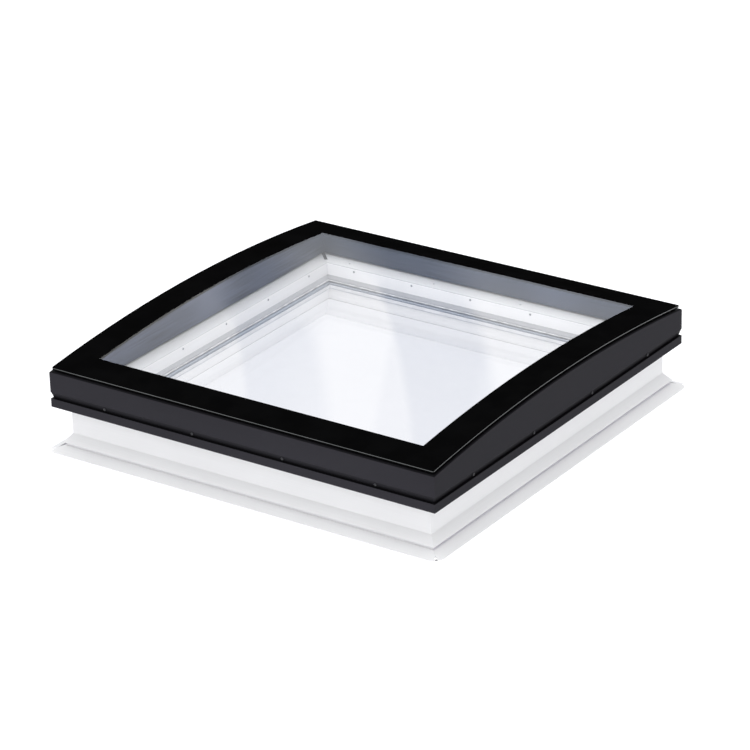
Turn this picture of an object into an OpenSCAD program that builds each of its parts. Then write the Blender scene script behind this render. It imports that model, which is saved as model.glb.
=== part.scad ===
// Fixed flat-roof skylight: an insulated kerb that carries a sealed double pane,
// under a screwed-on cover of arched glass on dark rails.
// Millimetres. +X runs along the straight front edge, +Y to the back, +Z up.
// The origin is the middle of the underside. "Out" is always the distance
// outwards from the edge of the cover glass, so points inside it are negative.

/* [Cover glass] */
// Side of the square cover glass
glass_side = 1180; // [1000:10:1600]
// Thickness of the cover glass
glass_t = 6; // [5:0.5:8]
// Rise of the arch between its straight edges
arch_rise = 36.5; // [20:0.5:60]
// Height of the glass's upper face at its straight edges
glass_z = 236; // [234:1:250]
// Radius of the glass's corners in plan
glass_corner_r = 3; // [1:0.5:10]
// Thickness of the strip that bonds the glass to the rails
bond_t = 4.5; // [3:0.5:6]
// How far the bonding strip stays inside the glass edge
bond_inset = 7; // [4:1:12]

/* [Cover rails] */
// How far the rails' face stands outside the glass edge
face_out = 5.5; // [3:0.5:10]
// Overall width of a rail, from its face to its inner wall
rail_w = 88.5; // [80:0.5:100]
// Wall thickness of the rails
rail_wall = 2.5; // [2:0.5:3.5]
// Height of the lip's lower edge
lip_z = 125; // [110:1:135]
// Height of the groove's lower ledge
groove_z = 148.5; // [146:0.5:152]
// Height of the groove
groove_h = 18.5; // [16:0.5:22]
// Depth of the groove at its ledge
groove_d = 6.5; // [5:0.5:8]
// Chamfer along the top of the rails
rail_chamfer = 2.4; // [1:0.1:3]
// Height of the rails' bottom web
web_z = 189; // [186:0.5:190]
// Thickness of the inner fascia sheet
fascia_t = 1.5; // [1:0.1:2]

/* [Kerb] */
// How far the foot stands outside the glass edge
foot_out = 20.5; // [18:0.5:30]
// Height of the kerb's outer wall
kerb_h = 175; // [172:1:177]
// Inset of the kerb's outer face from the glass edge
face_inset = 31; // [28:0.5:34]
// Height at which the outer face turns out into the slope
slope_z = 44; // [40:1:60]
// Inset of the foot's inner edge, at the roof opening, from the glass edge
flare_inset = 90; // [70:1:120]
// Inset of the light shaft's wall from the glass edge
shaft_inset = 131; // [128:1:134]
// Wall thickness of the kerb profile
kerb_wall = 3; // [2:0.5:4]
// Height of the lining slot
lining_z = 72.5; // [65:0.5:78]

/* [Sealed double pane] */
// Outer pane
outer_pane_t = 4; // [4:1:6]
// Space between the panes
cavity_t = 12; // [12:1:16]
// Inner laminated pane
inner_pane_t = 6.8; // [6:0.4:6.8]
// Inset of the panes' edge from the cover glass edge
pane_inset = 118; // [116:1:120]

/* [Fixings] */
// Distance between the groove screws
groove_screw_pitch = 280; // [240:5:280]
// Distance between the bead screws
bead_screw_pitch = 192; // [150:1:192]
// How far the corner fixing holes stand outside the glass edge, along X and along Y
fixing_out = 10; // [8:0.5:11]
// Diameter of the corner fixing holes
fixing_d = 5.5; // [4:0.5:6]

/* [Hidden] */

half = glass_side / 2;
reach = 2 * glass_side;
SIDES = [0, 1, 2, 3];

// How far a cutting shape runs past what it cuts, and how far below its upper
// face the cover glass's zone is cut off
cut = 1;
glass_zone = 40;

// Arch: one cylinder along X, and every layer under the glass is a smaller one
arc_r = (half * half + arch_rise * arch_rise) / (2 * arch_rise);
arc_z = glass_z + arch_rise - arc_r;
rail_drop = glass_t + bond_t;
function arc_height(y, drop) = arc_z + sqrt(pow(arc_r - drop, 2) - y * y);

// Kerb profile
kerb_face = -face_inset;
step_out = -12.5;
step_z = 22;
step_lip = 2.5;
recess_z = 11.5;
recess_d = 6;
foot_edge = 2;
bead_back = -62;
bead_seat_z = 150;
rebate_out = -114;
shaft_out = -shaft_inset;
lining_w = 1.5;
lining_d = 3;
flare_out = -flare_inset;
flare_edge = 3;
notch_root = -0.5;
notch_mouth = 12.7;
notch_over = 5;
notch_end = 60;
foot_round = 30;

// Levels of the sealed double pane, from its seat upwards
lower_gasket_t = 3;
upper_gasket_t = 3;
pane_top_z = 131.2;
spacer_z = pane_top_z - outer_pane_t - cavity_t;
inner_pane_z = spacer_z - inner_pane_t;
rebate_z = inner_pane_z - lower_gasket_t;
spacer_in = -151;
spacer_w = 12;
seal_film = 1;
gasket_lap = 2;
gasket_lip = 3.3;
gasket_lip_h = 1.2;
packer_l = 60;
packer_at = 380;

// Glazing bead and ledge
bead_face = -129.5;
bead_nose = -136.5;
bead_nose_z = 145.2;
bead_nose_drop = 8.5;
bead_wall = 2.5;
bead_web = -95;
bead_clear = 2;
bead_bottom_z = pane_top_z + upper_gasket_t;
ledge_z = 181.5;
strip_t = 2;
bead_top_z = ledge_z - strip_t;
strip_in = half + bead_face;
strip_out = half - 64;
slot_at = half - 116;
slot_w = 9.5;
slot_step = slot_w / sqrt(8);
seal_t = 1;

// Cover
rail_inner = face_out - rail_w;
groove_top_z = groove_z + groove_h;
groove_step = 1.2;
groove_back_rise = 0.5;
groove_back_top = 2;
seal_out = -36;
seal_w = 16;
fascia_return = 14;
fascia_gap = 1;
fascia_clear = 0.5;
bond_back = -70;
key_leg = 90;
key_wall = 6;
key_clear = 1;
key_top_z = 215;

// Screws: thread diameter, head diameter and head height
groove_screw = [4, 7.5, 2.6];
groove_screw_l = 28;
groove_screw_z = 157.6;
groove_screw_seat = 2.9;
rail_drilling_l = 15;
block_l = 40;
block_top_z = 165;
bead_screw = [3.5, 6, 1.8];
bead_screw_l = 40;
bead_screw_z = 171;
bead_screw_shift = 13;
ledge_screw = [3, 5, 1.2];
ledge_screw_l = 16;
ledge_screw_out = -107.5;
ledge_screw_shift = 20;
tab_t = 2;
tab_w = 10;
tab_tail = 45;
fixing_pitch = glass_side + 2 * fixing_out;

// Places of the screws along a side, counted from its middle
groove_screw_at = [for (i = [-1.5:1:1.5]) i * groove_screw_pitch];
bead_screw_at = [for (i = [-2:1:2]) i * bead_screw_pitch];

kerb_section = [
    [foot_out, 0], [foot_out, foot_edge], [step_out, recess_z],
    [step_out - recess_d, recess_z], [step_out - recess_d, step_z - step_lip],
    [step_out, step_z - step_lip], [step_out, step_z],
    [kerb_face, slope_z], [kerb_face, kerb_h], [bead_back, kerb_h],
    [bead_back, bead_seat_z], [rebate_out, bead_seat_z], [rebate_out, rebate_z],
    [shaft_out, rebate_z], [shaft_out, lining_z + lining_w],
    [shaft_out + lining_d, lining_z + lining_w], [shaft_out + lining_d, lining_z],
    [shaft_out, lining_z], [flare_out, flare_edge], [flare_out, 0]
];

core_toe = flare_out + 1.5 * kerb_wall;
core_heel = -24;
core_shoulder = 2;
core_section = [
    [core_toe, kerb_wall], [core_heel, kerb_wall], [core_heel, step_z + step_lip],
    [kerb_face - kerb_wall, slope_z - core_shoulder], [kerb_face - kerb_wall, kerb_h - kerb_wall],
    [bead_back + kerb_wall, kerb_h - kerb_wall], [bead_back + kerb_wall, bead_seat_z - kerb_wall],
    [rebate_out + kerb_wall, bead_seat_z - kerb_wall], [rebate_out + kerb_wall, rebate_z - kerb_wall],
    [shaft_out + kerb_wall, rebate_z - kerb_wall],
    [shaft_out + kerb_wall, lining_z + lining_w + kerb_wall],
    [shaft_out + lining_d + kerb_wall, lining_z + lining_w + kerb_wall],
    [shaft_out + lining_d + kerb_wall, lining_z - kerb_wall]
];

bead_section = [
    [bead_back, bead_seat_z], [bead_back, bead_top_z], [bead_face, bead_top_z],
    [bead_face, bead_nose_z], [bead_nose, bead_nose_z - bead_nose_drop], [bead_nose, bead_bottom_z],
    [rebate_out - bead_clear, bead_bottom_z], [rebate_out - bead_clear, bead_seat_z]
];

upper_gasket_section = [
    [-pane_inset - gasket_lap, pane_top_z], [bead_nose - gasket_lip, pane_top_z],
    [bead_nose - gasket_lip, pane_top_z + gasket_lip_h], [bead_nose, bead_bottom_z],
    [-pane_inset - gasket_lap, bead_bottom_z]
];

// Outline of a rail; its top runs past the arch and is trimmed to it
trim_z = glass_z + 2 * arch_rise;
face_top_z = arc_height(half + face_out, rail_drop) - rail_chamfer;
wall_out = face_out - rail_wall;
rail_section = [
    [face_out, lip_z], [face_out, groove_z], [face_out - groove_d, groove_z],
    [face_out - groove_step, groove_top_z - groove_step], [face_out, groove_top_z],
    [face_out, trim_z], [rail_inner, trim_z], [rail_inner, web_z], [wall_out, web_z],
    [wall_out, groove_top_z + groove_back_top], [wall_out - groove_step, groove_top_z],
    [wall_out - groove_d, groove_z + groove_back_rise], [wall_out - groove_d, groove_z - rail_wall],
    [wall_out, groove_z - rail_wall], [wall_out, lip_z]
];

// Puts a thing made for the front on side 0 front, 1 right, 2 back or 3 left
module on_side(side) {
    rotate([0, 0, 90 * side]) children();
}

// Draws a section of [out, z] points and runs it along the front edge
module along_front(section) {
    rotate([90, 0, 90])
        linear_extrude(2 * reach, center = true)
            polygon([for (p = section) [-half - p[0], p[1]]]);
}

// The quarter of the plan that belongs to the front, between the two mitres
module mitre_wedge() {
    translate([0, 0, -glass_side])
        linear_extrude(2 * glass_side)
            polygon([[0, 0], [-reach, -reach], [reach, -reach]]);
}

// A length of profile along one side, mitred at both ends
module mitred_length(side, section) {
    on_side(side) intersection() {
        along_front(section);
        mitre_wedge();
    }
}

// A rectangle as a section
function bar(out_a, out_b, z_a, z_b) = [[out_a, z_a], [out_b, z_a], [out_b, z_b], [out_a, z_b]];

// Everything under the arched face that lies "drop" below the glass's upper face
module under_arch(drop) {
    translate([0, 0, arc_z])
        rotate([0, 90, 0])
            cylinder(r = arc_r - drop, h = 2 * reach, center = true, $fn = 720);
}

// A flat square ring between two insets
module square_ring(out_a, out_b, z_a, z_b) {
    translate([0, 0, z_a])
        linear_extrude(z_b - z_a)
            difference() {
                square(2 * (half + out_a), center = true);
                square(2 * (half + out_b), center = true);
            }
}

module square_plate(out, z_a, z_b) {
    translate([0, 0, z_a])
        linear_extrude(z_b - z_a)
            square(2 * (half + out), center = true);
}

// A screw along -Y: its head is a short drum with a domed face, its seat is at y = 0
module screw(size, length) {
    rotate([90, 0, 0]) {
        rotate_extrude($fn = 32)
            polygon([[0, 0], [size[1] / 2, 0], [size[1] / 2, size[2] * 0.45],
                     [size[1] * 0.36, size[2] * 0.85], [size[1] * 0.18, size[2]], [0, size[2]]]);
        translate([0, 0, -length])
            cylinder(d = size[0], h = length + 0.01, $fn = 24);
    }
}

// A round hole along Y that starts just in front of y = 0 and runs backwards
module drilling(d, length) {
    rotate([-90, 0, 0]) translate([0, 0, -cut]) cylinder(d = d, h = length + cut, $fn = 24);
}

/* Kerb */

// Each end of a foot is rounded off in plan, and has an open notch at the mitre
module foot_notches() {
    middle = half + foot_out - foot_round;
    for (m = [0, 1]) mirror([m, 0, 0]) translate([0, 0, -cut]) linear_extrude(recess_z + cut) {
        polygon([[half + notch_root, -half - notch_root],
                 [half + notch_mouth, -half - foot_out - notch_over],
                 [half + notch_end, -half - notch_end]]);
        difference() {
            translate([middle, -middle - notch_end]) square(notch_end);
            translate([middle, -middle]) circle(r = foot_round, $fn = 96);
        }
    }
}

// Plan of the four corner tabs: a round nose around the hole and a tail under the kerb
module tab_plan() {
    for (side = SIDES) on_side(side)
        translate([fixing_pitch / 2, -fixing_pitch / 2]) rotate(-45) {
            translate([-tab_tail, -tab_w / 2]) square([tab_tail, tab_w]);
            circle(d = tab_w, $fn = 48);
        }
}

module kerb(side) {
    color("whitesmoke") difference() {
        mitred_length(side, kerb_section);
        mitred_length(side, core_section);
        on_side(side) foot_notches();
        translate([0, 0, -cut]) linear_extrude(tab_t + cut) tab_plan();
    }
}

module core(side) {
    color("lightgray") mitred_length(side, core_section);
}

module corner_tabs() {
    color("white") linear_extrude(tab_t) difference() {
        tab_plan();
        for (x = [-1, 1], y = [-1, 1])
            translate([x, y] * fixing_pitch / 2) circle(d = fixing_d, $fn = 32);
    }
}

/* Sealed double pane */

module lower_glazing_gasket() {
    color("dimgray") square_ring(-pane_inset, shaft_out, rebate_z, inner_pane_z);
}

module inner_pane() {
    color("aliceblue", 0.4) square_plate(-pane_inset, inner_pane_z, spacer_z);
}

module spacer_frame() {
    color("gainsboro")
        square_ring(spacer_in + spacer_w, spacer_in, spacer_z + seal_film, spacer_z + cavity_t - seal_film);
}

// Sealing compound: behind the spacer, and as a film between it and each pane
module edge_seal() {
    color("darkslategray") difference() {
        square_ring(-pane_inset, spacer_in, spacer_z, spacer_z + cavity_t);
        square_ring(spacer_in + spacer_w, spacer_in - cut,
                    spacer_z + seal_film, spacer_z + cavity_t - seal_film);
    }
}

module outer_pane() {
    color("aliceblue", 0.4) square_plate(-pane_inset, spacer_z + cavity_t, pane_top_z);
}

module glazing_packers() {
    color("dimgray")
        for (side = SIDES, x = [-packer_at, packer_at]) on_side(side)
            translate([x - packer_l / 2, -half - rebate_out, inner_pane_z])
                cube([packer_l, pane_inset + rebate_out, pane_top_z - inner_pane_z]);
}

module upper_glazing_gasket() {
    color("dimgray")
        for (side = SIDES) mitred_length(side, upper_gasket_section);
}

/* Glazing beads and ledge */

// Both rows of a pair of facing beads are set from the same end, so they lie opposite each other
module at_bead_screws(side) {
    shift = side == 0 || side == 3 ? bead_screw_shift : -bead_screw_shift;
    for (x = bead_screw_at)
        on_side(side) translate([x + shift, -half - bead_face, bead_screw_z])
            rotate([0, 0, 180]) children();
}

module at_ledge_screws(side) {
    shift = side == 0 ? ledge_screw_shift : -ledge_screw_shift;
    for (x = groove_screw_at)
        on_side(side) translate([x + shift, -half - ledge_screw_out, ledge_z])
            rotate([-90, 0, 0]) children();
}

module bead(side) {
    color("white") difference() {
        mitred_length(side, bead_section);
        mitred_length(side, bar(bead_back - bead_wall, bead_web,
                                bead_seat_z + bead_wall, bead_top_z - bead_wall));
        mitred_length(side, bar(bead_web - bead_wall, bead_face + bead_wall,
                                bead_seat_z + bead_wall, bead_top_z - bead_wall));
        at_bead_screws(side) drilling(bead_screw[0], bead_screw_l + cut);
        if (side % 2 == 0) at_ledge_screws(side) drilling(ledge_screw[0], ledge_screw_l);
    }
}

module bead_screws() {
    color("silver")
        for (side = SIDES) at_bead_screws(side) screw(bead_screw, bead_screw_l);
}

// The ledge's mitres stay open towards the corner, as a narrow diagonal slot, so
// each strip ends in a short mitre and a step back to the edge of the slot
module ledge_strip(side) {
    ends = [[strip_in, -strip_in], [slot_at, -slot_at], [slot_at - slot_step, -slot_at - slot_step],
            [strip_out - 2 * slot_step, -strip_out]];
    color("gainsboro") difference() {
        on_side(side) translate([0, 0, bead_top_z]) linear_extrude(strip_t)
            polygon(concat(ends, [for (i = [3:-1:0]) [-ends[i][0], ends[i][1]]]));
        if (side % 2 == 0) at_ledge_screws(side) drilling(ledge_screw[0], ledge_screw_l);
    }
}

module ledge_screws() {
    color("silver")
        for (side = [0, 2]) at_ledge_screws(side) screw(ledge_screw, ledge_screw_l);
}

module corner_seals() {
    color("black")
        for (side = SIDES) on_side(side) translate([0, 0, bead_top_z]) linear_extrude(seal_t)
            polygon([[slot_at - slot_step, -slot_at - slot_step], [slot_at + slot_step, -slot_at + slot_step],
                     [strip_out, 2 * slot_step - strip_out], [strip_out, -strip_out],
                     [strip_out - 2 * slot_step, -strip_out]]);
}

/* Cover */

module cover_seal() {
    color("black") square_ring(seal_out, seal_out - seal_w, kerb_h, web_z);
}

// Bevel along the top of an arched rail: a ring with a slanted face about the arch's axis
module arch_bevel() {
    over = 4;
    r = arc_r - rail_drop;
    x = half + face_out;
    translate([0, 0, arc_z]) rotate([0, -90, 0]) rotate([0, 0, -9])
        rotate_extrude(angle = 18, $fn = 720)
            polygon([[r - rail_chamfer - over, x + over], [r + over, x - rail_chamfer - over],
                     [r + over, x + over]]);
}

// Bevel along the top of a straight rail
module straight_bevel() {
    over = 4;
    along_front([[face_out + over, face_top_z - over], [face_out + over, face_top_z + 2 * over],
                 [face_out - rail_chamfer - over, face_top_z + rail_chamfer + over]]);
}

module at_groove_screws(side) {
    for (x = groove_screw_at)
        on_side(side) translate([x, -half - groove_screw_seat, groove_screw_z]) children();
}

module rail(side) {
    color("dimgray") difference() {
        intersection() {
            mitred_length(side, rail_section);
            under_arch(rail_drop);
        }
        intersection() {
            mitred_length(side, bar(wall_out, rail_inner + rail_wall, web_z + rail_wall, trim_z));
            under_arch(rail_drop + rail_wall);
        }
        if (side % 2 == 0) on_side(side) straight_bevel();
        if (side == 1) mirror([1, 0, 0]) arch_bevel();
        if (side == 3) arch_bevel();
        at_groove_screws(side) drilling(groove_screw[0], rail_drilling_l);
    }
}

// Bars that fill the chambers of two neighbouring rails, from height z up
module key_bars(side, inset, z) {
    for (leg = [side, side + 1])
        mitred_length(leg, bar(wall_out - key_clear - inset, rail_inner + rail_wall + key_clear + inset,
                               z, key_top_z + inset));
}

// Cast angle that joins two rails inside their hollow chambers, open at the top like a tray
module corner_key(side) {
    color("silver") intersection() {
        difference() {
            key_bars(side, 0, web_z + rail_wall);
            key_bars(side, key_wall, web_z + rail_wall + key_wall);
        }
        on_side(side) translate([half - rail_w - key_leg, -half - face_out, web_z])
            cube([rail_w + key_leg + face_out, rail_w + key_leg + face_out, key_top_z - web_z]);
    }
}

module fascia(side) {
    color("silver") intersection() {
        mitred_length(side, [
            [rail_inner, trim_z], [rail_inner - fascia_t, trim_z],
            [rail_inner - fascia_t, web_z - fascia_gap - fascia_t],
            [rail_inner - fascia_t + fascia_return, web_z - fascia_gap - fascia_t],
            [rail_inner - fascia_t + fascia_return, web_z - fascia_gap], [rail_inner, web_z - fascia_gap]]);
        under_arch(glass_t + fascia_clear);
    }
}

module bond(side) {
    color("black") difference() {
        intersection() {
            mitred_length(side, bar(-bond_inset, bond_back, glass_z - glass_zone, trim_z));
            under_arch(glass_t);
        }
        under_arch(rail_drop);
    }
}

module cover_glass() {
    color("lightsteelblue", 0.4) difference() {
        intersection() {
            under_arch(0);
            translate([0, 0, glass_z - glass_zone])
                linear_extrude(glass_zone + 2 * arch_rise)
                    union() {
                        square([glass_side - 2 * glass_corner_r, glass_side], center = true);
                        square([glass_side, glass_side - 2 * glass_corner_r], center = true);
                        for (x = [-1, 1], y = [-1, 1])
                            translate([x, y] * (half - glass_corner_r)) circle(r = glass_corner_r, $fn = 32);
                    }
        }
        under_arch(glass_t);
    }
}

// Packers between the kerb and the rails, one behind each groove screw
module fixing_blocks() {
    slope = (groove_d - groove_step) / (groove_h - groove_back_rise);
    back_z = groove_z + groove_back_rise;
    foot = wall_out - groove_d;
    color("gray") difference() {
        for (side = SIDES, x = groove_screw_at)
            intersection() {
                mitred_length(side, [[kerb_face, back_z], [foot, back_z],
                                     [foot + slope * (block_top_z - back_z), block_top_z],
                                     [kerb_face, block_top_z]]);
                on_side(side) translate([x - block_l / 2, -reach, 0]) cube([block_l, reach, kerb_h]);
            }
        for (side = SIDES) at_groove_screws(side) drilling(groove_screw[0], groove_screw_l + cut);
    }
}

module groove_screws() {
    color("silver")
        for (side = SIDES) at_groove_screws(side) screw(groove_screw, groove_screw_l);
}

kerb(0);  // kerb_front
kerb(1);  // kerb_right
kerb(2);  // kerb_back
kerb(3);  // kerb_left
core(0);  // core_front
core(1);  // core_right
core(2);  // core_back
core(3);  // core_left
corner_tabs();
lower_glazing_gasket();
inner_pane();
spacer_frame();
edge_seal();
outer_pane();
glazing_packers();
upper_glazing_gasket();
bead(0);  // bead_front
bead(1);  // bead_right
bead(2);  // bead_back
bead(3);  // bead_left
bead_screws();
ledge_strip(0);  // ledge_strip_front
ledge_strip(1);  // ledge_strip_right
ledge_strip(2);  // ledge_strip_back
ledge_strip(3);  // ledge_strip_left
ledge_screws();
corner_seals();
cover_seal();
rail(0);  // rail_front
rail(1);  // rail_right
rail(2);  // rail_back
rail(3);  // rail_left
corner_key(0);  // corner_key_front_right
corner_key(1);  // corner_key_back_right
corner_key(2);  // corner_key_back_left
corner_key(3);  // corner_key_front_left
fascia(0);  // fascia_front
fascia(1);  // fascia_right
fascia(2);  // fascia_back
fascia(3);  // fascia_left
bond(0);  // bond_front
bond(1);  // bond_right
bond(2);  // bond_back
bond(3);  // bond_left
cover_glass();
fixing_blocks();
groove_screws();
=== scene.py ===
"""Looks of a fixed flat-roof skylight: an insulated white kerb with a sealed double pane, under a
screwed-on cover of arched glass on dark rails. Metres, +X along the straight front edge, +Z up."""

import math

import bmesh
import bpy
from mathutils import Matrix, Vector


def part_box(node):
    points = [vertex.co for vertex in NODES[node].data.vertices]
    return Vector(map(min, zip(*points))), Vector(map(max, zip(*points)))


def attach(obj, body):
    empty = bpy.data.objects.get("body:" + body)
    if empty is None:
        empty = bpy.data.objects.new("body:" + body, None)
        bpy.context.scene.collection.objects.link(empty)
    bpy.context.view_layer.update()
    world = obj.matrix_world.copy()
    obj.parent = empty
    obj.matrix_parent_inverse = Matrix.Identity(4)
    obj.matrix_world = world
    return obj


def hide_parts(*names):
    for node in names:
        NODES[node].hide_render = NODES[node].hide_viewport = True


bl_info = {
    "name": "Roof skylight",
    "version": (1, 0, 0),
    "blender": (4, 5, 0),
    "location": "3D View > Sidebar > Skylight",
    "description": "Dresses a fixed flat-roof skylight with its finishes, screws and studio",
    "category": "Object",
}

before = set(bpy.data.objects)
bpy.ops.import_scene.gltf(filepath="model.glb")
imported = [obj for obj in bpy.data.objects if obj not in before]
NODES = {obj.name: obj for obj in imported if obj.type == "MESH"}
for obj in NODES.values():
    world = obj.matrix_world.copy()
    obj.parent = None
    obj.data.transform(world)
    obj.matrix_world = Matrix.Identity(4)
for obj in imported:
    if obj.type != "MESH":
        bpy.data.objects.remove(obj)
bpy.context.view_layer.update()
MM = 0.001
SIDES = ("front", "right", "back", "left")
CORNERS = ("front_left", "front_right", "back_right", "back_left")

# The cover glass: its highest corner, half its side, and the levels under its top between which its edge
# has a painted highlight
GLASS_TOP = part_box("cover_glass")[1]
HALF_GLASS = GLASS_TOP.x
EDGE_IN = HALF_GLASS - 0.5 * MM
EDGE_HIGH, EDGE_LOW = 1.6 * MM, 3.4 * MM

# The arch of the cover glass: its rise, its radius and the height of its axis
ARCH_RISE = 36.5 * MM
ARCH_RADIUS = (HALF_GLASS**2 + ARCH_RISE**2) / (2 * ARCH_RISE)
ARCH_AXIS = GLASS_TOP.z - ARCH_RADIUS

# The cover rails: how deep the painted shade along their top edge runs, and where the painted shade of
# their groove lies
RAIL_TOP_DEPTH = 12.4 * MM
GROOVE_OUT = HALF_GLASS + 5.2 * MM
GROOVE_LOW, GROOVE_HIGH = 148.5 * MM, 167 * MM

# Painted light and shade: how light a finish is on the sides that run along X, and on those along Y
RAIL_SIDE_SHADING = {"X": 1.09, "Y": 0.76}
FASCIA_SIDE_SHADING = {"X": 0.64, "Y": 0.93}
BEAD_SIDE_SHADING = {"X": 1.0, "Y": 0.88}

# Where along a fascia a painted reflection makes it a little lighter, and how far that runs out
REFLECTION_AT = {"X": 0.25, "Y": -0.02}
REFLECTION_RUN = 0.15

# The grey lower face of a bead or a ledge strip: what it lies inside, its colour and its top
NOSE_IN = HALF_GLASS - 129.4 * MM
BEAD_NOSE = ((0.385, 0.39, 0.41), 145.3 * MM)
LEDGE_NOSE = ((0.55, 0.555, 0.57), 181.35 * MM)

# The holes of the corner tabs: how far they stand from the middle along X and Y. One has a disc of painted
# shade
FIXING_AT = HALF_GLASS + 10 * MM
HOLE_SHADE_R = 3.95 * MM
# How strongly the corner tabs glow: painted light
TAB_PAINTED_GLOW = 0.5

# Inside this reach the kerb is a little lighter: painted light on the shaft wall
SHAFT_WALL = HALF_GLASS - 88 * MM

# The recess round the kerb's foot, darkened with painted shade: its bottom, its inner reach, and its top
# and outer reach on the sides along X and along Y. At two of its ends a darker patch on the skirt is
# painted shadow
RECESS_LOW, RECESS_IN = 11 * MM, HALF_GLASS - 25 * MM
RECESS_BOUNDS = {"X": (21.8 * MM, HALF_GLASS - 12.3 * MM), "Y": (20 * MM, HALF_GLASS - 12.7 * MM)}
# Colours of the painted shade in the recess, on the sides along X and along Y
RECESS_SHADE = {"X": (0.86, 0.855, 0.865), "Y": (0.79, 0.775, 0.81)}
PATCH_TOP, PATCH_IN = RECESS_BOUNDS["Y"]
PATCH_OUT, PATCH_FROM = HALF_GLASS - 3 * MM, HALF_GLASS - 40 * MM
PATCH_SHADE = 0.35

# The sealing compound between the panes turns from dark to pale between these reaches: painted shade
# at its inner edge, and painted light where the bead's nose shades it
COMPOUND_IN, COMPOUND_OUT = HALF_GLASS - 151 * MM, HALF_GLASS - 139 * MM

# How strongly a pane mirrors
PANE_IOR, COVER_IOR = 1.15, 1.5

# Colours of the smaller pieces. Pairs run from dark to light
# The corner tabs' white, and the dark of the painted shade in a fixing hole
TAB_WHITE, HOLE_SHADE = (0.93, 0.93, 0.93), (0.012, 0.012, 0.016)
FOAM, CAST_METAL, PACKER_GREY = (0.62, 0.6, 0.5), (0.5, 0.5, 0.52), (0.12, 0.125, 0.13)
SEAL_BLACK, BOND_BLACK = (0.02, 0.02, 0.022), (0.012, 0.012, 0.013)
GASKET_GREY, SEAT_WHITE = (0.38, 0.385, 0.395), (0.88, 0.88, 0.9)
# The compound's dark and pale ends carry painted shade and painted light
COMPOUND, SPACER_GREY = ((0.18, 0.205, 0.25), (0.72, 0.76, 0.84)), (0.72, 0.72, 0.74)
STEEL = ((0.3, 0.31, 0.33), (0.45, 0.46, 0.49))
COATED_STEEL = ((0.014, 0.014, 0.017), (0.022, 0.022, 0.026))
# The painted highlight along the cover glass's edge
EDGE_HIGHLIGHT = ((0.07, 0.075, 0.075), (0.095, 0.1, 0.1))
DUST, BLACK, WHITE = (0.8, 0.81, 0.83), (0.0, 0.0, 0.0), (1.0, 1.0, 1.0)


# ---------------------------------------------------------------------------------------------
# Node sheets: shader and geometry trees written as expressions


class Signal:
    """An output socket that can be used in plain expressions."""

    def __init__(self, sheet, socket):
        self.sheet = sheet
        self.socket = socket

    def maths(self, operation, *values):
        kind = "ShaderNodeVectorMath" if self.socket.type == "VECTOR" else "ShaderNodeMath"
        return self.sheet.add(kind, {"operation": operation}, dict(enumerate(values)))

    def __add__(self, other):
        return self.maths("ADD", self, other)

    def __radd__(self, other):
        return self.maths("ADD", other, self)

    def __sub__(self, other):
        return self.maths("SUBTRACT", self, other)

    def __rsub__(self, other):
        return self.maths("SUBTRACT", other, self)

    def __mul__(self, other):
        return self.maths("MULTIPLY", self, other)

    def __truediv__(self, other):
        return self.maths("DIVIDE", self, other)

    def __gt__(self, other):
        return self.maths("GREATER_THAN", self, other)

    def __lt__(self, other):
        return self.maths("LESS_THAN", self, other)

    def __abs__(self):
        return self.maths("ABSOLUTE", self)

    def largest(self, other):
        return self.maths("MAXIMUM", self, other)

    def smallest(self, other):
        return self.maths("MINIMUM", self, other)

    def raised(self, power):
        return self.maths("POWER", self, power)

    def part(self, axis):
        """One component of a vector."""
        return self.sheet.add("ShaderNodeSeparateXYZ", {}, {0: self}, "XYZ".index(axis))

    def eased(self, low, high, to_low=0.0, to_high=1.0):
        """Runs smoothly from to_low at low to to_high at high."""
        return self.sheet.add(
            "ShaderNodeMapRange",
            {"interpolation_type": "SMOOTHSTEP"},
            {"Value": self, "From Min": low, "From Max": high, "To Min": to_low, "To Max": to_high},
        )

    def spread(self, to_low, to_high):
        """Spreads the middle of a noise, where most of it lies, from to_low to to_high."""
        return self.eased(0.3, 0.7, to_low, to_high)


class Sheet:
    """A node tree with one way to add nodes to it."""

    def __init__(self, tree):
        self.tree = tree
        self.tree.nodes.clear()

    def add(self, kind, settings=None, sockets=None, output=0):
        """Adds a node, first its settings and then the values or links of its sockets."""
        node = self.tree.nodes.new(kind)
        for name, value in (settings or {}).items():
            setattr(node, name, value)
        for key, value in (sockets or {}).items():
            for end in value if isinstance(value, list) else [value]:
                if isinstance(end, Signal):
                    self.tree.links.new(end.socket, node.inputs[key])
                else:
                    node.inputs[key].default_value = end
        return Signal(self, node.outputs[output]) if len(node.outputs) else None

    def place(self):
        """The point on the piece, in metres."""
        return self.add("ShaderNodeTexCoord", output=3)

    def noise(self, place, scale, detail=2.0, roughness=0.5):
        """Cloudy noise with so many waves to the metre."""
        return self.add(
            "ShaderNodeTexNoise",
            {"noise_dimensions": "3D"},
            {"Vector": place, "Scale": scale, "Detail": detail, "Roughness": roughness},
        )

    def blend(self, factor, first, second):
        """Mixes two colours."""
        return self.add(
            "ShaderNodeMix",
            {"data_type": "RGBA", "clamp_factor": True},
            {0: factor, 6: opaque(first), 7: opaque(second)},
            2,
        )

    def bump(self, height, strength, distance):
        """Dents a surface by at most the distance."""
        return self.add(
            "ShaderNodeBump", {}, {"Strength": strength, "Distance": distance, "Height": height}
        )

    def surface(self, sockets):
        """An opaque surface."""
        return self.add("ShaderNodeBsdfPrincipled", {}, sockets)

    def mix_surfaces(self, factor, first, second):
        """Goes from the first surface to the second as the factor goes from 0 to 1."""
        return self.add("ShaderNodeMixShader", {}, {0: factor, 1: first, 2: second})


def opaque(colour):
    """A colour socket's value from three numbers, or the signal itself."""
    return colour if isinstance(colour, Signal) else (*colour, 1.0)


def shade(colour, by):
    """A colour made lighter or darker."""
    return tuple(channel * by for channel in colour)


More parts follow.
